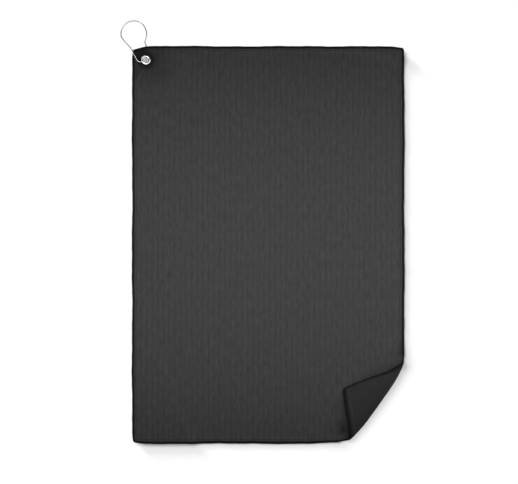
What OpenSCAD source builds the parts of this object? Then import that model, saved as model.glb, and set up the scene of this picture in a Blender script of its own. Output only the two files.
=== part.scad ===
// Golf towel lying flat, with one corner folded over and a wire hook in its eyelet.
// X runs across the towel, Y towards the end with the hook, Z up from the surface it lies on.

/* [Towel] */
// Width of the towel
towel_w = 405; // [300:5:500]
// Length of the towel
towel_l = 591; // [400:1:800]
// Thickness of one layer of cloth
cloth_t = 1.2; // [0.8:0.1:1.4]
// Width of the hem round the edge
hem_w = 7; // [5:0.5:9]
// Thickness of the hem, where the cloth is doubled
hem_t = 2; // [1.8:0.1:2.4]

/* [Folded corner] */
// Distance up the right side from the corner to the crease
fold_right = 132; // [110:1:160]
// Distance along the bottom side from the corner to the crease
fold_bottom = 98; // [80:1:120]
// Radius of the turn where the crease meets the right side
turn_r_right = 11; // [9:0.5:12]
// Radius of the turn where the crease meets the bottom side
turn_r_bottom = 6.5; // [6:0.5:7]
// Angle through which the cloth turns over
turn_angle = 195.5; // [190:0.5:195.5]

/* [Eyelet] */
// Distance of the eyelet's centre from the top and left sides
eyelet_inset = 21; // [18:1:24]
// Diameter of the eyelet's hole
eyelet_hole_d = 7.8; // [7.6:0.2:9]
// Diameter of the eyelet's flange
eyelet_d = 14; // [13:0.5:16]
// Height of the domed flange above the cloth
flange_h = 1; // [0.6:0.1:1]
// Thickness of the eyelet's sheet metal
sheet_t = 0.4; // [0.3:0.05:0.5]

/* [Wire hook] */
// Diameter of the spring wire
wire_d = 1.8; // [1.4:0.1:1.8]
// Radius of the hook's round end, to the middle of the wire
bulb_r = 19.1; // [15:0.1:22]

/* [Hidden] */

$fn = 96;
wire_r = wire_d / 2;
wire_gap = 0.4;                      // clearance of the wire from what it passes
cloth_colour = [0.15, 0.15, 0.15];
hem_colour = [0.11, 0.11, 0.11];
metal_colour = [0.78, 0.78, 0.8];

// The round end of the hook, from the eyelet's centre
bulb_x = -18.4;
bulb_y = 39.1;

// The origin is the middle of the whole box, with the hook's reach past two sides
reach_left = bulb_r + wire_r - bulb_x - eyelet_inset;
reach_top = bulb_r + wire_r + bulb_y - eyelet_inset;
right_x = (towel_w + reach_left) / 2;
left_x = right_x - towel_w;
bottom_y = -(towel_l + reach_top) / 2;
top_y = bottom_y + towel_l;
eyelet_x = left_x + eyelet_inset;
eyelet_y = top_y - eyelet_inset;

// The corner with the eyelet lies on the wire, raised along a diagonal ramp
lip_z = wire_d + wire_gap;           // underside of the eyelet's rolled lip
washer_z = lip_z + sheet_t;
raise = washer_z + sheet_t;          // underside of the raised cloth
ramp_near = 10;                      // ramp's upper end, from the eyelet's centre
ramp_far = 42;                       // ramp's lower end
flange_z = raise + cloth_t;
flange_top = flange_z + flange_h;
wire_over_z = flange_top + wire_gap + wire_r;

// The crease is one straight side of a cone whose apex lies beyond the bottom side
crease_l = norm([fold_right, fold_bottom]);
crease_dir = atan2(fold_right, fold_bottom);
turn_slope = (turn_r_right - turn_r_bottom) / crease_l;
cone_angle = atan(turn_slope);
apex_to_bottom = turn_r_bottom / turn_slope;
apex_to_right = apex_to_bottom + crease_l;
apex = [
    right_x - fold_bottom - apex_to_bottom * cos(crease_dir),
    bottom_y - apex_to_bottom * sin(crease_dir)
];
// In the flat cloth the turn takes up this angle, measured at the apex
turn_sector = turn_angle * sin(cone_angle);
flap_gap = 0.4;                      // between the turn and the flap's own edge

// Distance from the apex to a side of the towel, along a ray this angle below the crease
corner_from_apex = [right_x, bottom_y] - apex;
function ray_to_right(angle, inset = 0) = (corner_from_apex[0] - inset) / cos(crease_dir - angle);
function ray_to_bottom(angle, inset = 0) = (corner_from_apex[1] + inset) / sin(crease_dir - angle);

// ---- Flat outlines -------------------------------------------------------

far = 2000;

module towel_outline(inset = 0) {
    translate([left_x + inset, bottom_y + inset])
        square([towel_w - 2 * inset, towel_l - 2 * inset]);
}

// Everything beyond the ray that lies this angle below the crease
module beyond_ray(angle, gap = 0) {
    translate(apex) rotate(crease_dir - angle) translate([-far / 2, -far - gap]) square(far);
}

module hem_outline(side) {
    intersection() {
        difference() {
            towel_outline();
            towel_outline(hem_w);
        }
        if (side == "top") translate([left_x, top_y - hem_w]) square([towel_w, hem_w]);
        if (side == "bottom") translate([left_x, bottom_y]) square([towel_w, hem_w]);
        if (side == "left") translate([left_x, bottom_y + hem_w]) square([hem_w, towel_l - 2 * hem_w]);
        if (side == "right") translate([right_x - hem_w, bottom_y + hem_w])
            square([hem_w, towel_l - 2 * hem_w]);
    }
}

// ---- Cloth that lies flat ------------------------------------------------

// A layer of cloth over the whole table: flat, then up the ramp to the eyelet's corner
module cloth_layer(thickness) {
    under = [[-far, 0], [-ramp_far, 0], [-ramp_near, raise], [far, raise]];
    over = [for (i = [3:-1:0]) under[i] + [0, thickness]];
    translate([eyelet_x, eyelet_y, 0]) rotate([0, 0, 135]) rotate([90, 0, 0])
        linear_extrude(height = far, center = true) polygon(concat(under, over));
}

module laid_cloth(thickness) {
    intersection() {
        cloth_layer(thickness);
        translate([0, 0, -1]) linear_extrude(height = 20) difference() {
            children();
            beyond_ray(0);
        }
    }
}

module panel() {
    color(cloth_colour) difference() {
        laid_cloth(cloth_t) towel_outline(hem_w);
        translate([eyelet_x, eyelet_y, 0]) cylinder(d = eyelet_hole_d + 2 * sheet_t, h = 20);
    }
}

module hem(side) {
    color(hem_colour) laid_cloth(hem_t) hem_outline(side);
}

// ---- Folded corner -------------------------------------------------------

// The turn's own frame: X runs up the crease from the apex, Y into the towel
module at_crease() {
    translate([apex[0], apex[1], cloth_t / 2]) rotate([0, 0, crease_dir]) children();
}

// A shell of the cone, between two distances along its axis
module cone_shell(inner_t, outer_t) {
    near = apex_to_bottom * 0.8;
    distant = apex_to_right * 1.1;
    rotate([0, 90 - cone_angle, 0]) rotate([0, 0, -turn_angle]) rotate_extrude(angle = turn_angle)
        polygon([
            [near * turn_slope - inner_t, near],
            [near * turn_slope + outer_t, near],
            [distant * turn_slope + outer_t, distant],
            [distant * turn_slope - inner_t, distant]
        ]);
}

// Where cloth at a distance from the apex lies after this much of the turn, seen along Y
function turned(distance, turn) = distance * [
    pow(cos(cone_angle), 2) + pow(sin(cone_angle), 2) * cos(turn),
    sin(cone_angle) * cos(cone_angle) * (1 - cos(turn))
];

// The turn seen along Y, between the two sides of the towel that wrap round it
module turn_side(inset = 0) {
    turns = [0:15:180];
    past = [0, cloth_t + hem_t];     // past the lower and upper face, so the cut is clean
    right = [for (a = turns) turned(ray_to_right(a * sin(cone_angle), inset), a)];
    bottom = [for (a = turns) turned(ray_to_bottom(a * sin(cone_angle), inset), a)];
    last = len(right) - 1;
    rotate([90, 0, 0]) linear_extrude(height = 200, center = true) polygon(concat(
        [right[0] - past], right, [right[last] + past],
        [bottom[last] + past], [for (i = [last:-1:0]) bottom[i]], [bottom[0] - past]
    ));
}

module fold_turn() {
    color(cloth_colour) intersection() {
        translate([0, 0, -1]) linear_extrude(height = 60) towel_outline();
        at_crease() {
            intersection() {
                cone_shell(cloth_t / 2, cloth_t / 2);
                turn_side();
            }
            difference() {
                intersection() {
                    cone_shell(hem_t - cloth_t / 2, -cloth_t / 2);
                    turn_side();
                }
                turn_side(hem_w);
            }
        }
    }
}

// Carries cloth that was drawn flat beyond the turn to where it lies folded over
module folded_over() {
    at_crease() rotate(a = -turn_angle, v = [cos(cone_angle), 0, sin(cone_angle)])
        rotate([0, 0, turn_sector - crease_dir]) translate([-apex[0], -apex[1], -cloth_t / 2])
            children();
}

module flap(thickness) {
    folded_over() linear_extrude(height = thickness) intersection() {
        children();
        beyond_ray(turn_sector, flap_gap);
    }
}

module corner_flap() {
    color(cloth_colour) flap(cloth_t) towel_outline(hem_w);
}

module flap_hem_right() {
    color(hem_colour) flap(hem_t) hem_outline("right");
}

module flap_hem_bottom() {
    color(hem_colour) flap(hem_t) hem_outline("bottom");
}

// ---- Eyelet --------------------------------------------------------------

module at_eyelet() {
    translate([eyelet_x, eyelet_y, 0]) children();
}

// Barrel, domed flange on the front and rolled lip at the back, turned in one piece
module eyelet() {
    hole_r = eyelet_hole_d / 2;
    flange_r = eyelet_d / 2;
    lip_r = hole_r + 4 * sheet_t;
    crown = flange_h - sheet_t;      // rise of the dome above the flange's rim
    middle_r = (hole_r + flange_r) / 2;
    half_w = (flange_r - hole_r) / 2;
    dome = [for (a = [0:15:180]) [middle_r + half_w * cos(a), flange_z + sheet_t + crown * sin(a)]];
    color(metal_colour) at_eyelet() rotate_extrude() polygon(concat(
        dome,
        [
            [hole_r, lip_z], [lip_r, lip_z], [lip_r, washer_z], [hole_r + sheet_t, washer_z],
            [hole_r + sheet_t, flange_z], [flange_r, flange_z]
        ]
    ));
}

module eyelet_washer() {
    color(metal_colour) at_eyelet() translate([0, 0, washer_z]) difference() {
        cylinder(d = eyelet_d, h = sheet_t);
        translate([0, 0, -1]) cylinder(d = eyelet_hole_d + 2 * sheet_t, h = 3);
    }
}

// ---- Wire hook -----------------------------------------------------------

// One point on a smooth curve between the second and third of four points
function curve_point(p, i, u) = let (a = p[i - 1], b = p[i], c = p[i + 1], d = p[i + 2])
    (2 * b + (c - a) * u + (2 * a - 5 * b + 4 * c - d) * u * u + (3 * b - a - 3 * c + d) * u * u * u) / 2;

function curve(p, steps) = let (
        ends = concat([2 * p[0] - p[1]], p, [2 * p[len(p) - 1] - p[len(p) - 2]])
    )
    [for (i = [1:len(p) - 1]) for (k = [0:steps - 1]) curve_point(ends, i, k / steps), p[len(p) - 1]];

function tangents(p) = [
    for (i = [0:len(p) - 1]) let (d = p[min(i + 1, len(p) - 1)] - p[max(i - 1, 0)]) d / norm(d)
];

// Normals that turn as little as possible from one ring to the next
function normals(t, last, i = 0) = i == len(t) ? [] :
    let (n = last - (last * t[i]) * t[i], m = n / norm(n)) concat([m], normals(t, m, i + 1));

module wire(route, steps) {
    sides = 10;
    path = curve(route, steps);
    along = tangents(path);
    across = normals(along, [0.6, 0.1, 0.8]);
    rings = len(path);
    points = [
        for (i = [0:rings - 1]) for (k = [0:sides - 1])
            path[i] + wire_r * (cos(k * 360 / sides) * across[i]
                + sin(k * 360 / sides) * cross(along[i], across[i]))
    ];
    walls = [
        for (i = [0:rings - 2]) for (k = [0:sides - 1]) let (n = (k + 1) % sides)
            each [
                [i * sides + k, (i + 1) * sides + k, i * sides + n],
                [i * sides + n, (i + 1) * sides + k, (i + 1) * sides + n]
            ]
    ];
    caps = [
        [for (k = [0:sides - 1]) k],
        [for (k = [sides - 1:-1:0]) (rings - 1) * sides + k]
    ];
    polyhedron(points = points, faces = concat(caps, walls));
}

function bulb_arc(from, to, step) = [
    for (a = [from:step:to]) [bulb_x + bulb_r * cos(a), bulb_y + bulb_r * sin(a), wire_r]
];

flex_angle = 135;                    // place on the round end where the wire flexes
flex_gap = 2;                        // half the opening left there, in degrees
catch_z = wire_over_z + wire_d + wire_gap;

// From the catch's finger over the hole, down through the eyelet and under the towel's edge
catch_route = [
    [5.6, 0.9, wire_over_z + 0.1], [3.4, -0.6, wire_over_z + 0.7], [1.2, -2, catch_z - 0.6],
    [-0.4, -3.2, catch_z - 0.2], [-1.8, -3.7, catch_z], [-2.9, -2.9, catch_z],
    [-2.8, -1.5, catch_z], [-1.6, 0.2, catch_z], [-0.3, 1.9, catch_z - 0.2],
    [0.6, 2.8, catch_z - 1.2], [0.7, 2.5, wire_over_z - 0.2], [0.6, 2.1, flange_z],
    [0.6, 1.9, 3], [0.6, 2.4, 1.6], [0.6, 3.9, wire_r]
];
back_leg_route = [
    [0.5, 8, wire_r], [0.3, 14, wire_r], [0.1, 20, wire_r], [-0.6, 22.8, wire_r],
    [-1.9, 26.6, wire_r], [-1.3, 29.2, wire_r]
];

// From the round end, up over the towel's edge and along the front to the catch
front_leg_route = [
    [-33.4, 29.6, 2], [-29.4, 24.6, 3.7], [-25.6, 20.9, 5.3], [-22.9, 17.7, wire_over_z - 0.1],
    [-20.7, 14.7, wire_over_z], [-17.7, 8, wire_over_z], [-13.7, 0.7, wire_over_z],
    [-11, -2.4, wire_over_z], [-7.2, -3.3, wire_over_z], [-4.5, -2.1, wire_over_z],
    [-2.6, -1.1, wire_over_z]
];

module hook_wire() {
    color(metal_colour) at_eyelet()
        wire(concat(catch_route, back_leg_route, bulb_arc(-17, flex_angle - flex_gap, 15)), 3);
}

module hook_gate() {
    color(metal_colour) at_eyelet()
        wire(concat(bulb_arc(flex_angle + flex_gap, 195, 14.5), front_leg_route), 3);
}

panel();
hem("top");  // hem_top
hem("left");  // hem_left
hem("right");  // hem_right
hem("bottom");  // hem_bottom
fold_turn();
corner_flap();
flap_hem_right();
flap_hem_bottom();
eyelet();
eyelet_washer();
hook_wire();
hook_gate();
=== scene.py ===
"""Looks of the golf towel: ribbed cloth with sewn hems, one corner folded over, an eyelet and its wire hook.

Flat cloth is described by (u, v), millimetres from its lower left corner, u to the right and v up. surface()
carries those to where the cloth lies. Shapes are worked out in millimetres and become metres in the meshes.
"""
import bpy
import math
import numpy as np
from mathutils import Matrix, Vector


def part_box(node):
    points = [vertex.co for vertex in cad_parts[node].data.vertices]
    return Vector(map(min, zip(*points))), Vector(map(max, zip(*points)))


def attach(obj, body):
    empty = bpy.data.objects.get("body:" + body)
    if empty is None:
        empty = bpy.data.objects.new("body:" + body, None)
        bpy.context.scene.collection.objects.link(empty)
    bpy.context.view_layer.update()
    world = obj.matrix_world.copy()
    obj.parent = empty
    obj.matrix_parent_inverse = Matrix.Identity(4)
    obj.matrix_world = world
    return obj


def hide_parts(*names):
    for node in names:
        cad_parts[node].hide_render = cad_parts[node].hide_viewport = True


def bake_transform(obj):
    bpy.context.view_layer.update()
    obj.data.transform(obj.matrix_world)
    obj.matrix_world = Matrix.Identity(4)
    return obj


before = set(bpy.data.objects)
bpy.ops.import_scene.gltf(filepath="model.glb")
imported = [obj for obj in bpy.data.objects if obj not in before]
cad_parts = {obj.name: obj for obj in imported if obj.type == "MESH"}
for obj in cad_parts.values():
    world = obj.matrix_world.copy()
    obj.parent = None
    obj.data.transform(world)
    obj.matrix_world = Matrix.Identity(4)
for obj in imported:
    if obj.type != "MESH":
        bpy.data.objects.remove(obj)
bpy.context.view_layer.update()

TAU = 2 * math.pi

# ---- Sizes, in millimetres -------------------------------------------------------------------------------

left_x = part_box("hem_left")[0].x * 1000
right_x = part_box("hem_right")[1].x * 1000
bottom_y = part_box("hem_bottom")[0].y * 1000
top_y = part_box("hem_top")[1].y * 1000
W = right_x - left_x
L = top_y - bottom_y

eye_lo, eye_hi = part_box("eyelet")
EYE = np.array([(eye_lo.x + eye_hi.x) * 500 - left_x, (eye_lo.y + eye_hi.y) * 500 - bottom_y])
FLANGE_TOP = eye_hi.z * 1000
LIP_Z = eye_lo.z * 1000
FLANGE_R = (eye_hi.x - eye_lo.x) * 500
HOLE_R = 3.9
RAISE = 3.0                # underside of the cloth round the eyelet

CLOTH_HALF = 0.6           # half the thickness of one layer
HEM_FRONT = 0.85           # the hem's own faces, from the cloth's middle
HEM_BACK = 1.15
HEM_W = 7.0
STITCH_IN = 6.1            # stitch line, from the edge
RIM = 1.1                  # depth of the rounded rim
LOCK_IN = 3.1              # depth of the overlocked edge

FOLD_RIGHT = 132.0         # how much of the right side is folded over
FOLD_BOTTOM = 98.0         # how much of the bottom side is folded over
TURN = math.radians(195.5)
TURN_R_RIGHT = 11.0        # radii of the cone that sets the rays on the flat cloth
TURN_R_BOTTOM = 6.5

# ---- The folded corner -----------------------------------------------------------------------------------

# The turn is part of a cone. Its rays fan out over the flat cloth from APEX, downwards from the crease.
crease_bottom = np.array([W - FOLD_BOTTOM, 0.0])
crease_right = np.array([W, FOLD_RIGHT])
crease_dir = math.atan2(FOLD_RIGHT, FOLD_BOTTOM)
along_crease = np.array([math.cos(crease_dir), math.sin(crease_dir)])
across = np.array([math.sin(crease_dir), -math.cos(crease_dir)])     # out of the towel, square to the crease
turn_slope = (TURN_R_RIGHT - TURN_R_BOTTOM) / math.hypot(FOLD_RIGHT, FOLD_BOTTOM)
APEX = crease_bottom - along_crease * TURN_R_BOTTOM / turn_slope
turn_sector = TURN * math.sin(math.atan(turn_slope))
tip_ray = crease_dir - math.atan2(-APEX[1], W - APEX[0])

# Where the cloth lies, seen from above: the turn's outer line, its top, and the tip of the folded corner
outer_bottom, outer_right = np.array([321.6, 5.6]), np.array([403.0, 122.6])
top_bottom, top_right = np.array([320.4, 24.0]), np.array([384.6, 111.8])
folded_tip = np.array([313.6, 81.2])
OUTER_BULGE, TOP_BULGE = 7.0, 3.0                   # how far those lines bow out in their middles
RISE_BOTTOM, RISE_RIGHT = 6.4, 9.6                  # the turn's radius upwards, at each side
TIP_Z = 2.5
FLAP_SAG = 1.3
turn_share_bottom, turn_share_right = 1.4, 0.82     # how much flat cloth the turn takes up at each side


def smooth(x, a, b):
    t = np.clip((x - a) / (b - a), 0, 1)
    return t * t * (3 - 2 * t)


def ray_ends(ray):
    """Distances from the apex to the bottom and right sides, along a ray that far below the crease."""
    return -APEX[1] / np.sin(crease_dir - ray), (W - APEX[0]) / np.cos(crease_dir - ray)


def turn_end(share):
    """The ray where the turn ends, at this share of the way from the bottom side to the right side."""
    return turn_sector * (turn_share_bottom + (turn_share_right - turn_share_bottom) * share)


def from_rays(ray, share):
    near, far = ray_ends(ray)
    reach = near + (far - near) * share
    return APEX[0] + reach * np.cos(crease_dir - ray), APEX[1] + reach * np.sin(crease_dir - ray)


def to_rays(u, v):
    du, dv = u - APEX[0], v - APEX[1]
    ray = crease_dir - np.arctan2(dv, du)
    near, far = ray_ends(np.minimum(ray, tip_ray - 1e-4))
    return ray, (np.hypot(du, dv) - near) / np.maximum(far - near, 0.5)


def between(a, b, t):
    return a[None, :] + (b - a)[None, :] * t[:, None]


def folded(ray, share):
    """Where cloth beyond the crease lies: from above, and its height over the flat cloth's middle."""
    end = turn_end(share)
    turn = np.clip(ray / end, 0, 1) * TURN
    over = np.clip((ray - end) / (tip_ray - end), 0, 1)
    s = np.clip(share, -0.02, 1.02)
    full = 1 - (2 * s - 1) ** 4
    crease = between(crease_bottom, crease_right, s)
    outer = between(outer_bottom, outer_right, s) + (OUTER_BULGE * full * (0.92 + 0.16 * s))[:, None] * across
    top = between(top_bottom, top_right, s) + (TOP_BULGE * full)[:, None] * across
    sine = np.sin(turn)[:, None]
    start = np.where((turn < math.pi / 2)[:, None], crease, top)
    rolled = start + (outer - start) * sine
    radius = RISE_BOTTOM + (RISE_RIGHT - RISE_BOTTOM) * s
    height = radius * (1 - np.cos(turn))
    # the flap runs from the turn's end to the tip
    to_tip = folded_tip[None, :] - rolled
    leaving = (top - outer) * (np.linalg.norm(to_tip, axis=1) / np.linalg.norm(top - outer, axis=1))[:, None]
    plan = rolled + to_tip * over[:, None] + (leaving - to_tip) * (over * (1 - over) ** 2)[:, None]
    # its two sides bow out a little
    plan = plan + (1.1 * np.sin(math.pi * over) * (1 - s))[:, None] * np.array([-1.0, 0.1])
    plan = plan + (2.3 * np.sin(math.pi * over ** 0.8) * s)[:, None] * np.array([-0.33, 0.94])
    height = height + (TIP_Z - CLOTH_HALF - height) * over
    # the flap is limp: it sags a little between the turn and the tip, and more in its middle
    height = height - FLAP_SAG * np.sin(math.pi * over) * (0.4 + 0.6 * full)
    return plan, height


# ---- The flat cloth --------------------------------------------------------------------------------------

CORNERS = ((0, 0), (1, 0), (0, 1), (1, 1))
CORNER_R = 3.2


def rounded(u, v):
    """Rounds the four corners of the flat cloth."""
    u, v = u.copy(), v.copy()
    for cx, cy in CORNERS:
        ex, ey = (u if cx == 0 else W - u), (v if cy == 0 else L - v)
        a, b = CORNER_R - ex, CORNER_R - ey
        inside = (a > 0) & (b > 0)
        k = np.where(inside, np.maximum(a, b) / np.maximum(np.hypot(a, b), 1e-9), 1.0)
        nx, ny = CORNER_R - a * k, CORNER_R - b * k
        u = np.where(inside, nx if cx == 0 else W - nx, u)
        v = np.where(inside, ny if cy == 0 else L - ny, v)
    return u, v


def wave(x, *parts):
    return sum(size * np.sin(TAU * x / length + start) for size, length, start in parts)


def fade(x, reach):
    return np.exp(-np.maximum(x, 0) / reach)


def edge_shift(u, v):
    """The edges aren't quite straight, and three corners are drawn in by their sewing."""
    keep_right = smooth(v, 130, 175)
    keep_bottom = 1 - smooth(u, 262, 300)
    du = fade(u, 26) * wave(v, (0.34, 168, 0.4), (0.22, 71, 1.9), (0.10, 23, 0.6))
    du = du - fade(W - u, 26) * keep_right * wave(v, (0.36, 190, 2.2), (0.20, 66, 0.2), (0.10, 27, 1.1))
    dv = -fade(L - v, 26) * wave(u, (0.30, 150, 1.2), (0.20, 58, 0.5), (0.10, 21, 2.0))
    dv = dv + fade(v, 26) * keep_bottom * wave(u, (0.30, 172, 2.6), (0.20, 61, 1.4), (0.10, 25, 0.3))
    du, dv = du + 0.25 * fade(u, 26) + 0.1 * fade(W - u, 26), dv - 0.6 * fade(L - v, 26) - 0.7 * fade(v, 26)
    # lower left
    near = fade(u, 8) * fade(v, 8)
    du, dv = du + 1.3 * near, dv + 2.4 * near
    # upper right
    du = du - 1.2 * fade(W - u, 16) * fade(L - v, 12)
    dv = dv - 3.6 * fade(W - u, 19) * fade(L - v, 26)
    # upper left, drawn in between the hook's legs
    near = (1 - smooth(u, -4, 25)) * (1 - smooth(L - v, -3, 20))
    du, dv = du + 1.9 * near, dv - 6.0 * near
    # the bottom side rises towards the fold
    dv = dv + 2.2 * smooth(u, 255, 312) * fade(v, 14)
    return du, dv


def past_leg(du, dv):
    """How far inside the hook's front leg, square to it. du and dv are from the eyelet."""
    return (du + 22.9) * 0.88 + (dv - 17.7) * 0.476


def painted_shade(u, v):
    """Painted shade, from 0 to 1, that darkens the cloth's colour: round the eyelet, in the curled corner
    between the wire's two legs and at the fold's ends, with a lighter painted highlight along the ridge below
    the eyelet.
    """
    du, dv = u - EYE[0], v - EYE[1]
    r = np.hypot(du, dv)
    # painted shade in the corner curled up between the legs and in a halo round the eyelet; the tension ridge
    # below it is lightened, a painted highlight
    corner = smooth(past_leg(du, dv), -0.5, 3.0) * (1 - smooth(du, -9, 9)) * smooth(dv, -9, 0)
    halo_shade = np.exp(-(np.maximum(r - 7.5, 0) / 5.5) ** 2)
    ridge_at = -6.0 - 9.5 * smooth(-dv, 16, 40)
    ridge = smooth(-dv, 10, 20) * (1 - smooth(-dv, 50, 75)) * np.exp(-((du - ridge_at) / 2.4) ** 2)
    eyelet_shade = np.maximum(corner, 0.76 * halo_shade) + 0.42 * (1 - smooth(r, 8, 58)) - 0.34 * ridge
    # painted shade where the hem turns down at the fold's right end, and in the hollow at its bottom end
    above = v - FOLD_RIGHT
    hem_turn_shade = np.exp(-(np.maximum(W - u, 0) / (10.5 - 0.25 * np.clip(above, 0, 30))) ** 2)
    hem_turn_shade = hem_turn_shade * smooth(above, -6, 3) * (1 - smooth(above, 8, 30))
    hollow_shade = np.exp(-((u - 314) / 8) ** 2 - ((v - 21) / 9) ** 2)
    return np.clip(eyelet_shade + 0.80 * hem_turn_shade + 0.75 * hollow_shade, 0, 1)


def edge_distance(u, v):
    return np.minimum(np.minimum(u, W - u), np.minimum(v, L - v))


def flat_height(u, v):
    """Height of the flat cloth's middle over where a single layer on the table has it."""
    e = edge_distance(u, v)
    z = (HEM_BACK - CLOTH_HALF) * (1 - smooth(e, 5.5, 13))
    # raised on the wire round the eyelet
    du, dv = u - EYE[0], v - EYE[1]
    diagonal = (dv - du) / math.sqrt(2)
    side = (dv + du) / math.sqrt(2)
    lifted = smooth(diagonal + 0.0035 * side * side, -40, -6)
    r = np.hypot(du, dv)
    lifted = np.maximum(lifted, 1 - smooth(r, 8.5, 24))
    z = z * (1 - lifted) + RAISE * lifted
    # pressed between the eyelet's flanges, and gathered round them
    angle = np.arctan2(dv, du)
    ring = np.exp(-((r - 8.6) / 2.2) ** 2)
    spokes = np.cos(5 * angle + 0.7) * 0.5 + np.cos(8 * angle + 2.0) * 0.3
    out = smooth(r, 6.6, 9.5) * np.exp(-np.maximum(r - 9, 0) / 8)
    z = z - 0.35 * ring + 0.45 * out * spokes
    # a soft tension ridge runs from the eyelet down beside the left edge
    ridge_at = -5.5 - 9.5 * smooth(-dv, 14, 40)
    along = smooth(-dv, 8, 24) * (1 - smooth(-dv, 45, 95))
    z = z + 1.1 * along * np.exp(-((du - ridge_at) / 3.6) ** 2)
    # the corner curls up between the hook's legs
    tip = np.clip((diagonal - 9.5) / 20, 0, 1.1)
    z = z + 5.2 * tip ** 1.5 * smooth(past_leg(du, dv), 0.4, 5.0) * (1 - smooth(du, -4, 4))
    # the upper right corner curls a little, and the lower left one lifts
    z = z + 3.4 * fade(W - u, 11) * fade(L - v, 11) + 1.6 * fade(u, 9) * fade(v, 9)
    # the cloth lifts before it turns over
    ray, share = to_rays(u, v)
    before = np.maximum(-ray, 0) * np.hypot(u - APEX[0], v - APEX[1])
    z = z + 1.0 * np.exp(-(before / 9) ** 2) * smooth(share, -0.12, 0.06) * (1 - smooth(share, 1.0, 1.12))
    # the right side rises into the end of the fold, and its hem turns down
    inward = W - u
    rise = np.exp(-((v - FOLD_RIGHT - 6) / 10) ** 2)
    z = z + 2.4 * rise * smooth(inward, 0, 9) * (1 - smooth(inward, 9, 42))
    # slack
    inside = smooth(e, 4, 40)
    z = z + inside * (0.30 + 0.16 * np.sin(u / 31 + 0.7 * np.sin(v / 57)) * np.sin(v / 43 + 1.1)
                      + 0.13 * np.sin((u + 0.6 * v) / 24 + 0.4))
    z = z + 0.22 * (1 - inside) * (1 + wave(u + v, (0.6, 47, 0.2), (0.4, 29, 1.3)))
    return z


def middle(u, v):
    """The middle of the cloth's thickness, for flat places (u, v)."""
    u, v = rounded(u, v)
    ray, share = to_rays(u, v)
    du, dv = edge_shift(u, v)
    flat = np.stack([u + du, v + dv, CLOTH_HALF + flat_height(u, v)], 1)
    plan, height = folded(np.clip(ray, 0, tip_ray), share)
    # the crease's own unevenness dies away in the turn
    crease_at = from_rays(np.zeros_like(ray), np.clip(share, 0, 1))
    left_over = 1 - smooth(ray, 0.0, 0.35 * turn_sector)
    plan = plan + np.stack(edge_shift(*crease_at), 1) * left_over[:, None]
    height = CLOTH_HALF + height + flat_height(*crease_at) * left_over
    turned_over = np.concatenate([plan, height[:, None]], 1)
    return np.where((ray > 0)[:, None], turned_over, flat)


def unit(vectors):
    return vectors / np.maximum(np.linalg.norm(vectors, axis=-1, keepdims=True), 1e-9)


def surface(u, v):
    """Places and outward normals of the front, for flat places (u, v)."""
    u, v = np.asarray(u, float), np.asarray(v, float)
    d = 0.12
    p = middle(u, v)
    along_u = middle(u + d, v) - middle(u - d, v)
    along_v = middle(u, v + d) - middle(u, v - d)
    return p, unit(np.cross(along_u, along_v))


def rim_factor(e):
    return np.sqrt(np.clip(1 - (1 - np.clip(e / RIM, 0, 1)) ** 2, 0, 1))


def faces_at(e):
    """How far the front and the back stand from the middle, this far in from the edge."""
    groove = 0.20 * np.exp(-((e - STITCH_IN) / 0.55) ** 2)
    locked = 0.12 * (1 - smooth(e, LOCK_IN - 0.2, LOCK_IN + 0.5))
    front = HEM_FRONT + (CLOTH_HALF - HEM_FRONT) * smooth(e, HEM_W - 0.6, HEM_W + 1.2) - groove - locked
    back = HEM_BACK + (CLOTH_HALF - HEM_BACK) * smooth(e, HEM_W - 0.15, HEM_W + 0.35) - groove - locked
    return front * rim_factor(e), back * rim_factor(e)


def to_world(points):
    """From millimetres at the flat cloth's lower left corner to metres in the frame."""
    return (points + np.array([left_x, bottom_y, 0.0])) * 0.001


def add_piece(name, points, faces):
    """A smooth-shaded piece from points in millimetres."""
    mesh = bpy.data.meshes.new(name)
    mesh.from_pydata(to_world(points).tolist(), [], faces)
    mesh.polygons.foreach_set("use_smooth", np.ones(len(mesh.polygons), bool))
    mesh.update()
    obj = bpy.data.objects.new(name, mesh)
    bpy.context.scene.collection.objects.link(obj)
    return obj


def add_map(mesh, name, a, b):
    """Keeps two values of each point in a map of this name."""
    corner = np.zeros(len(mesh.loops), np.int32)
    mesh.loops.foreach_get("vertex_index", corner)
    layer = mesh.uv_layers.new(name=name)
    layer.data.foreach_set("uv", np.stack([a[corner], b[corner]], 1).astype(np.float32).ravel())


# ---- Meshes of cloth -------------------------------------------------------------------------------------

# Distances from the edge of the mesh's lines beside it: close at the rim, the stitches and the hem's edge
HEM_LINES = np.array([0, 0.09, 0.3, 0.62, 1.05, 1.7, 2.5, 3.5, 4.5, 5.2, 5.6, 5.9, 6.15, 6.4, 6.75, 7.0, 7.3,
                      7.9, 9.0, 11.0, 13.5])


def spaced(a, b, step):
    return np.linspace(a, b, max(2, int(round((b - a) / step)) + 1))[1:-1]


def graded(a, b, stops):
    """Lines from a to b, whose spacing changes as stops says: (where, step)."""
    out, x = [], a
    places, steps = zip(*stops)
    while True:
        x = x + float(np.interp(x, places, steps))
        if x > b - 0.6 * float(np.interp(b, places, steps)):
            return np.array(out)
        out.append(x)


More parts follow.
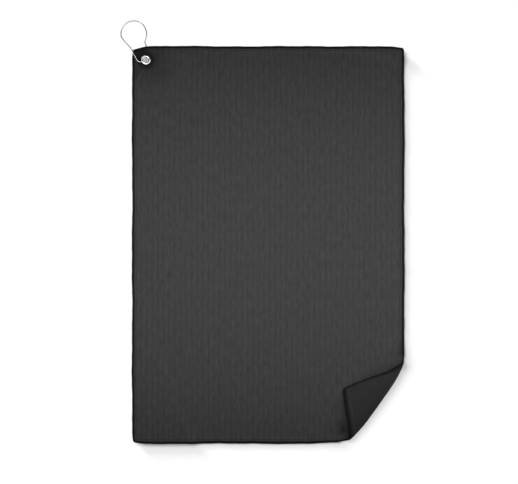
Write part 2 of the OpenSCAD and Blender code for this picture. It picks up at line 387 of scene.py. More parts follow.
def cloth_object(name, grid, first_capped, last_capped, hole=None):
    """A closed shell of cloth over a grid of flat places (u, v), with its flat size and flat area in metres.

    It closes by itself where the grid meets the cloth's edge. Elsewhere a wall closes it: first_capped and
    last_capped are how many points of the first and last columns have one, and hole is (middle, radius).
    """
    u, v = (part.ravel() for part in grid)
    index = np.arange(len(u)).reshape(grid[0].shape)
    quads = np.stack([index[:-1, :-1], index[:-1, 1:], index[1:, 1:], index[1:, :-1]], -1).reshape(-1, 4)
    corners = np.stack([u[quads], v[quads]], -1)
    one, other = corners[:, 2] - corners[:, 0], corners[:, 3] - corners[:, 1]
    flat_area = float(np.abs(one[:, 0] * other[:, 1] - one[:, 1] * other[:, 0]).sum()) / 2
    lines = (index[:first_capped, 0][::-1], index[:last_capped, -1])
    walls = [np.stack([line[1:], line[:-1]], 1) for line in lines if len(line)]
    p, n = surface(u, v)
    if hole:
        centre, radius = hole
        quads = quads[np.hypot(*(corners.mean(1) - centre).T) > radius]
        edges = np.concatenate([quads[:, [i, (i + 1) % 4]] for i in range(4)])
        _, which, uses = np.unique(np.sort(edges, 1), axis=0, return_index=True, return_counts=True)
        edges = edges[which[uses == 1]]
        away = np.stack([u, v], 1) - centre
        edges = edges[np.hypot(*away[edges[:, 0]].T) < radius + 6]
        walls.append(edges[:, ::-1])
        ring = np.unique(edges)
        p[ring, :2] += away[ring] * (radius / np.hypot(*away[ring].T) - 1)[:, None]
    e = edge_distance(u, v)
    front, back = faces_at(e)
    places = np.concatenate([p + n * front[:, None], p - n * back[:, None]])
    # at the cloth's edge the front and the back share their points
    behind = np.arange(len(u)) + np.where(e < 1e-6, 0, len(u))
    a, b = np.concatenate(walls).T
    faces = np.concatenate([quads, behind[quads[:, ::-1]], np.stack([a, b, behind[b], behind[a]], -1)])
    used, faces = np.unique(faces, return_inverse=True)
    faces = faces.reshape(-1, 4)
    obj = add_piece(name, places[used], faces.tolist())
    order = np.arange(len(faces))
    obj.data.polygons.foreach_set("material_index", (order >= len(quads)).astype(np.int32))
    obj.data.polygons.foreach_set("use_smooth", order < 2 * len(quads))
    # kept for the materials: the flat place in decimetres, then the distance from the edge in centimetres and
    # the amount of painted shade
    u, v = np.tile(u, 2)[used], np.tile(v, 2)[used]
    add_map(obj.data, "flat", u / 100, v / 100)
    add_map(obj.data, "edge", edge_distance(u, v) / 10, painted_shade(u, v))
    obj.data.update()
    return obj, (float(np.ptp(u)) / 1000, float(np.ptp(v)) / 1000), flat_area * 1e-6


# Rows and columns of the flat part. To the right of each row lies the edge or the crease.
hem_end = HEM_LINES[-1]
left_lines = np.append(HEM_LINES, graded(hem_end, 190, ((14, 1.5), (40, 1.6), (55, 2.9), (200, 3.2))))
right_lines = np.append(HEM_LINES, graded(hem_end, 40, ((14, 1.6), (25, 2.6), (60, 3.2))))
top_stops = ((14, 1.5), (46, 1.6), (60, 2.9), (500, 3.2))
top_lines = np.append(HEM_LINES, graded(hem_end, L - FOLD_RIGHT - 1.5, top_stops))
crease_rise = math.tan(crease_dir)
end_lines = FOLD_RIGHT - HEM_LINES[::-1] * crease_rise
corner_rows = np.concatenate([HEM_LINES, spaced(hem_end, end_lines[0], 3.0), end_lines])
rows = np.append(corner_rows, L - top_lines[::-1])
inner_count = int((W - left_lines[-1] - right_lines[-1]) / 3.1)


def row_of(v):
    """One row of the flat part: its places u, from the left edge to the right edge or the crease."""
    end = W if v >= FOLD_RIGHT else crease_bottom[0] + v / crease_rise
    left_end, right_end = left_lines[-1], end - right_lines[-1]
    inner = np.linspace(left_end, right_end, inner_count + 2)[1:-1]
    return np.concatenate([left_lines, inner, end - right_lines[::-1]])


panel_u = np.stack([row_of(v) for v in rows])
panel_v = np.repeat(rows[:, None], panel_u.shape[1], 1)

# Rows of the turned and folded part follow rays, and their columns go on from the flat part's rows
hem_count = len(HEM_LINES)
turn_steps = np.linspace(0, 1, 31)
seam_step = 0.03                                         # where the turn's piece ends, on the way to the tip
flap_steps = np.append(seam_step, np.linspace(0.07, 0.985, 30))


def ray_row(ray_of):
    """Places along one row, with the hems' lines at both ends. ray_of gives the ray at a share of the way."""
    share = corner_rows / FOLD_RIGHT
    for _ in range(6):                                   # the ray and the lines' places settle together
        ray = ray_of(share)
        near, far = ray_ends(ray)
        length = far - near
        low = HEM_LINES / np.sin(crease_dir - ray[:hem_count])
        high = HEM_LINES[::-1] / np.cos(crease_dir - ray[-hem_count:])
        squeeze = np.minimum(1, 0.46 * length / np.maximum(low[-1], high[0]))
        low = low * squeeze[:hem_count] / length[:hem_count]
        high = 1 - high * squeeze[-hem_count:] / length[-hem_count:]
        inner = np.linspace(low[-1], high[0], len(corner_rows) - 2 * hem_count + 2)[1:-1]
        share = np.concatenate([low, inner, high])
    return from_rays(ray_of(share), share)


turn_rows = [ray_row(lambda s, k=k: k * turn_end(s)) for k in turn_steps]
turn_rows[0] = (crease_bottom[0] + corner_rows / crease_rise, corner_rows)
flap_rows = [ray_row(lambda s, k=k: turn_end(s) + k * (tip_ray - turn_end(s))) for k in flap_steps]
turn_rows.append(flap_rows[0])


def grid_of(lines):
    """Rows become columns, so that the front faces up where the cloth is flat."""
    return np.stack([a for a, _ in lines], 1), np.stack([b for _, b in lines], 1)


seam_points = len(corner_rows)
towel, towel_flat, towel_area = cloth_object("towel_cloth", (panel_u, panel_v), 0, seam_points,
                                             hole=(EYE, HOLE_R + 1.4))
turn, turn_flat, turn_area = cloth_object("fold_cloth", grid_of(turn_rows), seam_points, seam_points)
flap, flap_flat, flap_area = cloth_object("corner_cloth", grid_of(flap_rows), seam_points, seam_points)

# ---- Threads ---------------------------------------------------------------------------------------------


def tube_faces(count, points, sides):
    """Faces of tubes with closed ends, each tube with this many rings of points, one after the other."""
    ring = (np.arange(count)[:, None] * points + np.arange(points - 1)).ravel()[:, None] * sides
    i = np.arange(sides)
    j = (i + 1) % sides
    faces = np.stack([ring + i, ring + sides + i, ring + sides + j, ring + j], -1).reshape(-1, 4).tolist()
    for tube in range(count):
        first, last = tube * points * sides, ((tube + 1) * points - 1) * sides
        faces += [(first + i).tolist(), (last + i[::-1]).tolist()]
    return faces


def tubes(name, paths, normals, radius, sides):
    """One piece of many tubes. paths is (tubes, points, 3)."""
    count, points, _ = paths.shape
    ahead = unit(np.concatenate([paths[:, 1:] - paths[:, :-1], paths[:, -1:] - paths[:, -2:-1]], 1))
    behind = np.concatenate([ahead[:, :1], ahead[:, :-1]], 1)
    along = unit(ahead + behind)
    side = unit(np.cross(along, normals))
    up = np.cross(side, along)
    rings = [paths + radius * (math.cos(a) * side + math.sin(a) * up) for a in np.arange(sides) * TAU / sides]
    return add_piece(name, np.stack(rings, 2).reshape(-1, 3), tube_faces(count, points, sides))


SIDES = (  # start, direction along, direction inward, length
    (np.array([0.0, 0.0]), np.array([1.0, 0.0]), np.array([0.0, 1.0]), W),
    (np.array([W, 0.0]), np.array([0.0, 1.0]), np.array([-1.0, 0.0]), L),
    (np.array([W, L]), np.array([-1.0, 0.0]), np.array([0.0, -1.0]), W),
    (np.array([0.0, L]), np.array([0.0, -1.0]), np.array([1.0, 0.0]), L),
)


def part_of(u, v):
    """0 where the cloth is flat, 1 in the turn and 2 in the folded corner."""
    ray, share = to_rays(u, v)
    end = turn_end(share)
    end = end + seam_step * (tip_ray - end)
    return np.where(ray <= 0, 0, np.where(ray < end, 1, 2))


def sewn(name, pitch, margin, lines, radius, sides):
    """Repeats a stitch along all four sides, as one piece for each part of the cloth.
    lines are the stitch's runs: points of (along, in from the edge, height over the face)."""
    made = {0: [], 1: [], 2: []}
    for start, along, inward, length in SIDES:
        count = int(round((length - 2 * margin) / pitch))
        at = margin + (np.arange(count) + 0.5) * (length - 2 * margin) / count
        for run in lines:
            run = np.asarray(run, float)
            s = at[:, None] + run[None, :, 0]
            e = np.broadcast_to(run[None, :, 1], s.shape)
            h = np.broadcast_to(run[None, :, 2], s.shape)
            place = start + s[..., None] * along + e[..., None] * inward
            u, v = place[..., 0].ravel(), place[..., 1].ravel()
            points, normal = thread_point(u, v, e.ravel(), h.ravel())
            points, normal = points.reshape(*s.shape, 3), normal.reshape(*s.shape, 3)
            centre = start + at[:, None] * along + 2.0 * inward
            where = part_of(centre[:, 0], centre[:, 1])
            for part in made:
                keep = where == part
                if keep.any():
                    made[part].append((points[keep], normal[keep]))
    out = []
    for part, label in ((0, "towel"), (1, "fold"), (2, "corner")):
        p, n = (np.concatenate([x[i] for x in made[part]]) for i in (0, 1))
        out.append(tubes(f"{label}_{name}", p, n, radius, sides))
    return out


def thread_point(u, v, e, h):
    """A point of thread. Its height is over the front where positive and under the back where negative.
    Outside the cloth it goes on straight out from the edge."""
    inset_u, inset_v = np.clip(u, 0, W), np.clip(v, 0, L)
    p, n = surface(inset_u, inset_v)
    outside = np.stack([u - inset_u, v - inset_v], 1)
    q, _ = surface(inset_u - outside[:, 0], inset_v - outside[:, 1])
    p = p + (p - q)
    front, back = faces_at(np.maximum(e, 0))
    return p + n * np.where(h >= 0, front + h, h - back)[:, None], n


THREAD = 0.17                                            # radius of the overlock's thread


def round_rim(x, degrees, side):
    """A point of the overlock where it goes round the rim, this many degrees from its outermost."""
    a = math.radians(degrees)
    return x, RIM * (1 - math.cos(a)) - THREAD * math.cos(a), side * THREAD * math.sin(a)


lock_run = [(-0.55, LOCK_IN + 0.15, 0.02), (-0.45, LOCK_IN - 0.5, THREAD), (-0.25, 1.3, THREAD + 0.01)]
lock_run += [round_rim(0.15 - a / 220, a, 1) for a in (55, 25, 0.01)]
lock_run += [round_rim(0.2, a, -1) for a in (25, 55)]
lock_run += [(0.35, 1.3, -THREAD - 0.01), (0.5, LOCK_IN - 0.5, -THREAD), (0.6, LOCK_IN + 0.15, -0.02)]
chain_run, hem_run = [], []
for side in (1, -1):
    chain_run.append([(-0.8, LOCK_IN + 0.2, side * 0.05), (-0.35, LOCK_IN + 0.05, side * 0.24),
                      (0.1, LOCK_IN + 0.12, side * 0.26), (0.5, LOCK_IN + 0.3, side * 0.18),
                      (0.85, LOCK_IN + 0.2, side * 0.03)])
    hem_run.append([(x, STITCH_IN, side * height) for x, height in
                    ((-1.25, 0.001), (-0.75, 0.17), (0.0, 0.24), (0.75, 0.17), (1.25, 0.001))])
overlock = sewn("overlock", 1.15, 2.2, [lock_run], THREAD, 5)
chains = sewn("chain", 1.45, 2.6, chain_run, 0.19, 5)
hem_stitches = sewn("stitches", 2.9, STITCH_IN, hem_run, 0.2, 6)

# ---- Eyelet ----------------------------------------------------------------------------------------------


def turned(name, profile, segments=128):
    """A closed ring: profile is (radius, height) round the eyelet's axis."""
    radius, height = np.array(profile).T
    angles = (np.arange(segments) * TAU / segments)[:, None]
    x, y = EYE[0] + radius * np.cos(angles), EYE[1] + radius * np.sin(angles)
    k = len(profile)
    i, j = np.arange(segments)[:, None], np.arange(k)
    next_i, next_j = (i + 1) % segments, (j + 1) % k
    faces = np.stack([i * k + j, next_i * k + j, next_i * k + next_j, i * k + next_j], -1).reshape(-1, 4)
    points = np.stack([x, y, np.broadcast_to(height, x.shape)], -1).reshape(-1, 3)
    return add_piece(name, points, faces.tolist())


FLANGE_Z = RAISE + 2 * CLOTH_HALF                        # the front of the cloth under the flange
SHEET_T = 0.4                                            # thickness of the eyelet's metal
half_w = (FLANGE_R - HOLE_R) / 2
dome_from = FLANGE_Z + 0.32
crown = [(HOLE_R + half_w * (1 + math.cos(a)), dome_from + (FLANGE_TOP - dome_from) * math.sin(a) ** 0.8)
         for a in np.linspace(0.0, math.pi, 19)]
outer_curl = [(FLANGE_R - 0.02, FLANGE_Z + 0.14), (FLANGE_R - 0.16, FLANGE_Z + 0.02)]
under = [(HOLE_R + SHEET_T + 0.25, FLANGE_Z), (HOLE_R + SHEET_T, FLANGE_Z - 0.2),
         (HOLE_R + SHEET_T, LIP_Z + SHEET_T + 0.02)]
lip = [(HOLE_R + 3.9 * SHEET_T, LIP_Z + SHEET_T), (HOLE_R + 4 * SHEET_T, LIP_Z + 0.22),
       (HOLE_R + 3.7 * SHEET_T, LIP_Z + 0.03), (HOLE_R + 2 * SHEET_T, LIP_Z), (HOLE_R + 0.5, LIP_Z + 0.02),
       (HOLE_R + 0.12, LIP_Z + 0.2), (HOLE_R, LIP_Z + 0.6)]
eyelet = turned("eyelet_flange", outer_curl + under + lip + crown[::-1])
wash_lo, wash_hi = LIP_Z + SHEET_T, LIP_Z + 2 * SHEET_T
washer = turned("eyelet_washer_ring", [
    (FLANGE_R - 1.5, wash_lo + 0.02), (FLANGE_R - 0.7, wash_lo - 0.05), (FLANGE_R - 0.12, wash_lo + 0.02),
    (FLANGE_R, wash_lo + 0.16), (FLANGE_R - 0.02, wash_hi - 0.14), (FLANGE_R - 0.3, wash_hi - 0.02),
    (FLANGE_R - 0.9, wash_hi), (HOLE_R + 1.0, wash_hi), (HOLE_R + SHEET_T + 0.02, wash_hi - 0.05),
    (HOLE_R + SHEET_T + 0.02, wash_lo)])

# ---- Wire hook -------------------------------------------------------------------------------------------

# The wire's routes are (across, up, height), from the eyelet's axis and from the table.
WIRE_R = 0.9
BULB = np.array([-18.4, 39.1])                           # middle and radius of the round end
BULB_R = 19.1
WIRE_OVER = FLANGE_TOP + 0.4 + WIRE_R                    # the wire's height where it crosses the eyelet
CATCH = WIRE_OVER + 2 * WIRE_R + 0.4                     # and where the catch crosses the wire

bulb_route = [(BULB[0] + BULB_R * math.cos(a), BULB[1] + BULB_R * math.sin(a), WIRE_R)
              for a in np.radians(np.arange(-17, 195.1, 10.6))]
catch_route = [
    (5.6, 0.9, WIRE_OVER + 0.1), (3.4, -0.6, WIRE_OVER + 0.7), (1.2, -2, CATCH - 0.6),
    (-0.4, -3.2, CATCH - 0.2), (-1.8, -3.7, CATCH), (-2.9, -2.9, CATCH), (-2.8, -1.5, CATCH),
    (-1.6, 0.2, CATCH), (-0.3, 1.9, CATCH - 0.2), (0.6, 2.8, CATCH - 1.2), (0.7, 2.5, WIRE_OVER - 0.2),
    (0.6, 2.1, FLANGE_Z), (0.6, 1.9, 3), (0.6, 2.4, 1.6), (0.6, 3.9, WIRE_R)]
back_leg_route = [(0.5, 8, WIRE_R), (0.3, 14, WIRE_R), (0.1, 20, WIRE_R), (-0.6, 22.8, WIRE_R),
                  (-1.9, 26.6, WIRE_R), (-1.3, 29.2, WIRE_R)]
front_leg_route = [
    (-33.4, 29.6, 2), (-29.4, 24.6, 3.7), (-25.6, 20.9, 5.3), (-22.9, 17.7, WIRE_OVER - 0.1),
    (-20.7, 14.7, WIRE_OVER), (-17.7, 8, WIRE_OVER), (-13.7, 0.7, WIRE_OVER), (-11, -2.4, WIRE_OVER),
    (-7.2, -3.3, WIRE_OVER), (-4.5, -2.1, WIRE_OVER), (-2.6, -1.1, WIRE_OVER)]


def curve(points, steps):
    """A smooth curve through the points."""
    p = np.asarray(points, float)
    p = np.concatenate([[2 * p[0] - p[1]], p, [2 * p[-1] - p[-2]]])
    out = []
    for i in range(1, len(p) - 2):
        a, b, c, d = p[i - 1:i + 3]
        for u in np.arange(steps) / steps:
            out.append((2 * b + (c - a) * u + (2 * a - 5 * b + 4 * c - d) * u ** 2
                        + (3 * b - a - 3 * c + d) * u ** 3) / 2)
    return np.array(out + [p[-2]])


def wire(name, path, round_start, round_end, sides=20):
    """A wire of even thickness along the path, its cut ends rounded."""
    path = path + np.append(EYE, 0.0)
    radius = np.full(len(path), WIRE_R)
    angles = np.radians([88, 66, 44, 22])
    if round_start:
        cap = path[0] + unit(path[0] - path[1]) * WIRE_R * np.cos(angles)[:, None] * 0.8
        path, radius = np.concatenate([cap[::-1], path]), np.append(WIRE_R * np.sin(angles)[::-1], radius)
    if round_end:
        cap = path[-1] + unit(path[-1] - path[-2]) * WIRE_R * np.cos(angles)[:, None] * 0.8
        path, radius = np.concatenate([path, cap]), np.append(radius, WIRE_R * np.sin(angles))
    along = unit(np.gradient(path, axis=0))
    across_wire = np.array([0.6, 0.1, 0.8])
    frames = []
    for direction in along:
        across_wire = unit(across_wire - direction * (across_wire @ direction))
        frames.append(across_wire)
    one, other = np.array(frames)[:, None], np.cross(along, frames)[:, None]
    angle = (np.arange(sides) * TAU / sides)[:, None]
    rings = path[:, None] + radius[:, None, None] * (np.cos(angle) * one + np.sin(angle) * other)
    obj = add_piece(name, rings.reshape(-1, 3), tube_faces(1, len(path), sides))
    passed = np.append(0, np.cumsum(np.linalg.norm(np.diff(path, axis=0), axis=1)))
    # kept for the material: how far along the wire, in centimetres, and how far round it
    add_map(obj.data, "wire", np.repeat(passed, sides) / 10, np.tile(np.arange(sides) / sides, len(path)))
    obj.data.update()
    return obj


FRONT_FROM = 10.0          # place on the round end, in degrees, where the front piece starts
whole = curve(catch_route + back_leg_route + bulb_route + front_leg_route, 6)
from_bulb = whole[:, :2] - BULB
round_part = np.degrees(np.arctan2(from_bulb[:, 1], from_bulb[:, 0]))
on_round = (np.abs(np.hypot(*from_bulb.T) - BULB_R) < 0.2) & (whole[:, 1] > 32)
split = int(np.nonzero(on_round & (round_part > FRONT_FROM) & (round_part < 90))[0][0])
back_wire = wire("hook_back", whole[:split + 1], True, False)
front_wire = wire("hook_front", whole[split:], False, True)

# ---- Materials -------------------------------------------------------------------------------------------


def node(tree, kind, inputs=None, **settings):
    n = tree.nodes.new(kind)
    for key, value in settings.items():
        setattr(n, key, value)
    for key, value in (inputs or {}).items():
        if isinstance(value, bpy.types.NodeSocket):
            tree.links.new(value, n.inputs[key])
        else:
            n.inputs[key].default_value = value
    return n


def math_node(tree, operation, a, b=0.0, c=0.0, clamp=False):
    return node(tree, "ShaderNodeMath", {0: a, 1: b, 2: c}, operation=operation, use_clamp=clamp).outputs[0]


def noise(tree, at, scale, detail, roughness=0.5, dimensions="3D"):
    inputs = {"Vector": at, "Scale": scale, "Detail": detail, "Roughness": roughness}
    return node(tree, "ShaderNodeTexNoise", inputs, noise_dimensions=dimensions).outputs[0]


def step(tree, value, start, stop, low, high):
    """From low to high, while the value goes from start to stop."""
    ends = {"Value": value, "From Min": start, "From Max": stop, "To Min": low, "To Max": high}
    return node(tree, "ShaderNodeMapRange", ends, interpolation_type="SMOOTHSTEP").outputs[0]


def varied(tree, tone, by, amount):
    """The tone, with this much added of a texture that goes from 0 to 1."""
    return math_node(tree, "MULTIPLY_ADD", by, amount, math_node(tree, "SUBTRACT", tone, amount / 2))


def scaled_sine(tree, value, period):
    """Sine of a value in decimetres, from 0 to 1, with this period in millimetres."""
    angle = math_node(tree, "MULTIPLY", value, TAU * 100 / period)
    return math_node(tree, "MULTIPLY_ADD", math_node(tree, "SINE", angle), 0.5, 0.5)


def new_material(name):
    m = bpy.data.materials.new(name)
    m.use_nodes = True
    tree = m.node_tree
    tree.nodes.clear()
    shader = node(tree, "ShaderNodeBsdfPrincipled")
    node(tree, "ShaderNodeOutputMaterial", {"Surface": shader.outputs[0]})
    return m, tree, shader


def finished(tree, shader, base, shade, roughness, height, strength, distance):
    """Gives the shader its colour, base times shade, its roughness, and a bump of this height map."""
    grey = node(tree, "ShaderNodeCombineColor", {0: shade, 1: shade, 2: shade}).outputs[0]
    colour = node(tree, "ShaderNodeMix", {"Factor": 1.0, "A": (*base, 1.0)},
                  data_type="RGBA", blend_type="MULTIPLY")
    tree.links.new(grey, colour.inputs["B"])
    tree.links.new(colour.outputs["Result"], shader.inputs["Base Color"])
    tree.links.new(roughness, shader.inputs["Roughness"])
    bump = node(tree, "ShaderNodeBump", {"Strength": strength, "Distance": distance, "Height": height})
    tree.links.new(bump.outputs[0], shader.inputs["Normal"])


RIB = 1.66                                               # from one rib to the next
COURSE = 1.25                                            # from one course of the knit to the next
SHEEN = 0.08


def cloth_material(name, base, ribbed, mottle, streaky):
    """Microfibre: ribs or a plain knit, a mottled nap, and a darker sewn edge."""
    m, tree, shader = new_material(name)
    flat = node(tree, "ShaderNodeUVMap", uv_map="flat").outputs[0]
    edge = node(tree, "ShaderNodeUVMap", uv_map="edge").outputs[0]
    u, v = node(tree, "ShaderNodeSeparateXYZ", {0: flat}).outputs[:2]
    # the edge map's second value is the painted shade
    e, painted_darkening = node(tree, "ShaderNodeSeparateXYZ", {0: edge}).outputs[:2]
    wavy_u = math_node(tree, "MULTIPLY_ADD", noise(tree, flat, 5.0, 2.0, dimensions="2D"), 0.012, u)
    nap = noise(tree, flat, 70.0, 5.0, 0.7, "2D")
    streaks_at = node(tree, "ShaderNodeMapping", {"Vector": flat, "Scale": (30.0, 7.0, 1.0)}).outputs[0]
    streak = noise(tree, streaks_at, 1.0, 2.0, 0.6, "2D")
    patch = noise(tree, flat, 9.0, 3.0, 0.6, "2D")
    courses = scaled_sine(tree, v, COURSE)
    if ribbed:
        rib = scaled_sine(tree, wavy_u, RIB)
        band = scaled_sine(tree, wavy_u, 5 * RIB)
        height = math_node(tree, "MULTIPLY_ADD", band, 0.45, rib)
        height = math_node(tree, "MULTIPLY_ADD", courses, 0.25, height)
        tone = math_node(tree, "MULTIPLY_ADD", rib, 0.20, math_node(tree, "MULTIPLY_ADD", band, 0.12, 0.82))
        tone = math_node(tree, "MULTIPLY_ADD", courses, 0.05, tone)
    else:
        rib = scaled_sine(tree, wavy_u, 0.9)
        height = math_node(tree, "MULTIPLY_ADD", courses, 0.3, math_node(tree, "MULTIPLY", rib, 0.35))
        tone = math_node(tree, "MULTIPLY_ADD", courses, 0.06, 0.93)
        tone = math_node(tree, "MULTIPLY_ADD", rib, 0.08, tone)
        # the turned hem's cut edge catches light, and the hem itself lies darker
        cut = math_node(tree, "ABSOLUTE", math_node(tree, "SUBTRACT", e, 0.73))
        cut = step(tree, cut, 0.02, 0.09, 0.5, 0.0)
        hem = step(tree, e, 0.60, 0.70, -0.22, 0.0)
        tone = math_node(tree, "ADD", tone, math_node(tree, "ADD", cut, hem))
    height = math_node(tree, "MULTIPLY_ADD", nap, 0.7, height)
    for texture, amount in ((nap, mottle), (patch, 0.22), (streak, streaky)):
        tone = varied(tree, tone, texture, amount)
    # thread and pressed cloth at the edge are darker, and so is the stitched line; painted shade from the
    # edge map darkens the cloth by the eyelet, between the hook's legs and at the fold's ends
    away = math_node(tree, "ABSOLUTE", math_node(tree, "SUBTRACT", e, STITCH_IN / 10))
    for share in (step(tree, e, 0.31, 0.43, 0.22, 1.0), step(tree, away, 0.02, 0.10, 0.85, 1.0),
                  math_node(tree, "MULTIPLY_ADD", painted_darkening, -0.82, 1.0)):
        tone = math_node(tree, "MULTIPLY", tone, share)
    finished(tree, shader, base, tone, math_node(tree, "MULTIPLY_ADD", nap, 0.12, 0.84), height, 0.8, 0.00022)
    shader.inputs["Specular IOR Level"].default_value = 0.22
    shader.inputs["Sheen Weight"].default_value = SHEEN
    shader.inputs["Sheen Roughness"].default_value = 0.45
    shader.inputs["Sheen Tint"].default_value = (0.55, 0.55, 0.56, 1.0)
    return m


def thread_material(name, base):
    m, tree, shader = new_material(name)
    where = node(tree, "ShaderNodeTexCoord").outputs["Object"]
    twist = noise(tree, where, 2600.0, 3.0)
    shade, roughness = (math_node(tree, "MULTIPLY_ADD", twist, a, b) for a, b in ((0.8, 0.6), (0.25, 0.65)))
    finished(tree, shader, base, shade, roughness, twist, 0.6, 0.00006)
    shader.inputs["Specular IOR Level"].default_value = 0.08
    return m


def metal_material(name, base, rough, drawn):
    """Bright metal with fine marks, which run along the wire where it is drawn."""
    m, tree, shader = new_material(name)
    where = node(tree, "ShaderNodeTexCoord").outputs["Object"]
    if drawn:
        wire_map = node(tree, "ShaderNodeUVMap", uv_map="wire").outputs[0]
        lines_at = node(tree, "ShaderNodeMapping", {"Vector": wire_map, "Scale": (1.5, 60.0, 1.0)}).outputs[0]
        marks = noise(tree, lines_at, 4.0, 5.0, 0.6)
    else:
        marks = noise(tree, where, 900.0, 5.0, 0.6)
    dulled = noise(tree, where, 180.0, 3.0)
    shade = math_node(tree, "MULTIPLY_ADD", dulled, 0.2, 0.9)
    rougher = math_node(tree, "MULTIPLY_ADD", marks, 0.10, rough - 0.08)
    rougher = math_node(tree, "MULTIPLY_ADD", dulled, 0.12, rougher)
    finished(tree, shader, base, shade, rougher, marks, 0.25, 0.00003)
    shader.inputs["Metallic"].default_value = 1.0
    return m


front_cloth = cloth_material("ribbed_microfibre", (0.0365, 0.0365, 0.037), True, 0.70, 0.68)
back_cloth = cloth_material("plain_microfibre", (0.0175, 0.0175, 0.018), False, 0.30, 0.25)
edge_thread = thread_material("edge_thread", (0.010, 0.010, 0.0105))
hem_thread = thread_material("hem_thread", (0.030, 0.030, 0.031))
plated = metal_material("nickel_plate", (0.72, 0.72, 0.73), 0.18, False)
spring = metal_material("spring_wire", (0.62, 0.62, 0.63), 0.22, True)

for pieces, materials in (((towel, turn, flap), (front_cloth, back_cloth)),
                          ((*overlock, *chains), (edge_thread,)), (hem_stitches, (hem_thread,)),
                          ((eyelet, washer), (plated,)), ((back_wire, front_wire), (spring,))):
    for piece in pieces:
        for material in materials:
            piece.data.materials.append(material)

# ---- Camera, light and floor -----------------------------------------------------------------------------

scene = bpy.context.scene
VIEW_MIDDLE = (-0.0048, -0.0153)
VIEW_WIDTH = 0.7708
CAMERA_HEIGHT = 2.6
camera_data = bpy.data.cameras.new("camera")
camera_data.sensor_width = 36.0
camera_data.lens = 36.0 * CAMERA_HEIGHT / VIEW_WIDTH
camera_data.clip_start, camera_data.clip_end = 0.05, 50.0
camera = bpy.data.objects.new("camera", camera_data)
camera.location = (*VIEW_MIDDLE, CAMERA_HEIGHT)
scene.collection.objects.link(camera)
scene.camera = camera

FLOOR_REACH = 30.0
FLOOR_WHITE = 0.92
floor_mesh = bpy.data.meshes.new("floor")
floor_corners = [(x * FLOOR_REACH, y * FLOOR_REACH, 0) for x, y in ((-1, -1), (1, -1), (1, 1), (-1, 1))]
floor_mesh.from_pydata(floor_corners, [], [(0, 1, 2, 3)])
floor = bpy.data.objects.new("floor", floor_mesh)
scene.collection.objects.link(floor)
floor_paint, _, floor_shader = new_material("floor_paint")
floor_shader.inputs["Base Color"].default_value = (FLOOR_WHITE, FLOOR_WHITE, FLOOR_WHITE, 1.0)
floor_shader.inputs["Roughness"].default_value = 0.9
floor_shader.inputs["Specular IOR Level"].default_value = 0.1
floor_mesh.materials.append(floor_paint)

floor_group = bpy.data.collections.new("floor_only")
floor_group.objects.link(floor)
towel_group = bpy.data.collections.new("all_but_floor")
towel_group.objects.link(floor)
towel_group.collection_objects[0].light_linking.link_state = "EXCLUDE"


def place_light(name, data, place, target, group):
    obj = bpy.data.objects.new(name, data)
    obj.location = place
    obj.rotation_euler = (Vector(target) - Vector(place)).to_track_quat("-Z", "Y").to_euler()
    scene.collection.objects.link(obj)
    obj.light_linking.receiver_collection = group
    obj.visible_camera = False
    return obj


def area_light(name, place, target, size_x, size_y, power):
    data = bpy.data.lights.new(name, "AREA")
    data.shape = "RECTANGLE"
    data.size, data.size_y, data.energy = size_x, size_y, power
    place_light(name, data, place, target, towel_group)


def metal_light(place, target, cone, power):
    """A soft spot that only the eyelet and the hook take, close over the eyelet."""
    data = bpy.data.lights.new("metal_spot", "SPOT")
    data.spot_size, data.spot_blend = math.radians(cone), 0.6
    data.shadow_soft_size, data.energy = 0.06, power
    group = bpy.data.collections.new("metal_only")
    for piece in (eyelet, washer, back_wire, front_wire):
        group.objects.link(piece)
    place_light("metal_spot", data, place, target, group)


def sun_light(name, elevation, width, share, cast_by=None):
    """Even light on the floor alone, from the upper left at this elevation. share is its part of white."""
    data = bpy.data.lights.new(name, "SUN")
    rise = math.radians(elevation)
    data.angle = math.radians(width)
    data.energy = share * math.pi / (FLOOR_WHITE * math.sin(rise))
    to_side = math.cos(rise) / math.sqrt(2)
    lamp = place_light(name, data, (-to_side, to_side, math.sin(rise)), (0, 0, 0), floor_group)
    if cast_by:
        group = bpy.data.collections.new(name + "_shadow")
        for piece in cast_by:
            group.objects.link(piece)
        lamp.light_linking.blocker_collection = group


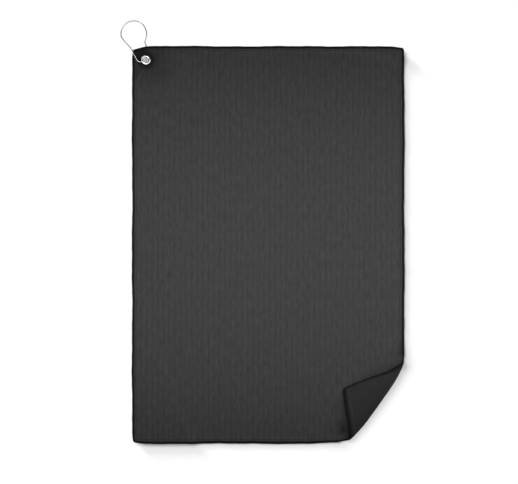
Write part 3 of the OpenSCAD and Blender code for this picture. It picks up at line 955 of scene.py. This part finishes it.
# The floor has its own even light, from low in the upper left to straight above. The low light gives the flat
# cloth its wide shadow; the hook and the folded corner, which stand higher, cast theirs in the steeper light.
low_pieces = (towel, overlock[0], chains[0])
sun_light("floor_low", 9, 10, 0.19, low_pieces)
sun_light("floor_slanted", 28, 30, 0.23, low_pieces)
sun_light("floor_steep", 47, 34, 0.30)
sun_light("floor_above", 88, 12, 0.26)
area_light("key", (-0.9, 0.75, 0.75), (0.02, -0.02, 0.0), 0.6, 0.6, 2.6)
area_light("strip", (0.42, -0.02, 0.20), (0.42, -0.02, 0.0), 1.6, 0.57, 4.4)

eye_at = to_world(np.append(EYE + np.array([-5.0, 1.0]), 6.0)[None])[0]
metal_light((eye_at[0] - 0.05, eye_at[1] - 0.02, 0.30), eye_at, 10, 2.3)

world = bpy.data.worlds.new("studio")
world.use_nodes = True
world.node_tree.nodes["Background"].inputs[0].default_value = (1.0, 1.0, 1.0, 1.0)
camera_ray = node(world.node_tree, "ShaderNodeLightPath").outputs["Is Camera Ray"]
seen_level = node(world.node_tree, "ShaderNodeMapRange", {"Value": camera_ray, "To Min": 0.05, "To Max": 1.0})
world.node_tree.links.new(seen_level.outputs[0], world.node_tree.nodes["Background"].inputs[1])
scene.world = world
scene.view_settings.view_transform = "Standard"

# ---- Frame -----------------------------------------------------------------------------------------------

for piece in (towel, overlock[0], chains[0], hem_stitches[0], eyelet, washer):
    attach(piece, "towel")
for piece in (flap, overlock[2], chains[2], hem_stitches[2]):
    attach(piece, "corner")
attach(back_wire, "hook")

# The turn's pieces and the hook's front piece stay unattached, with their placement baked into their points.
for piece in (turn, overlock[1], chains[1], hem_stitches[1]):
    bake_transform(piece)
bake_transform(front_wire)

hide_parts("panel", "hem_top", "hem_left", "hem_right", "hem_bottom")
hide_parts("fold_turn")
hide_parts("corner_flap", "flap_hem_right", "flap_hem_bottom")
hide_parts("eyelet")
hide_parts("eyelet_washer")
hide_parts("hook_wire")
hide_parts("hook_gate")
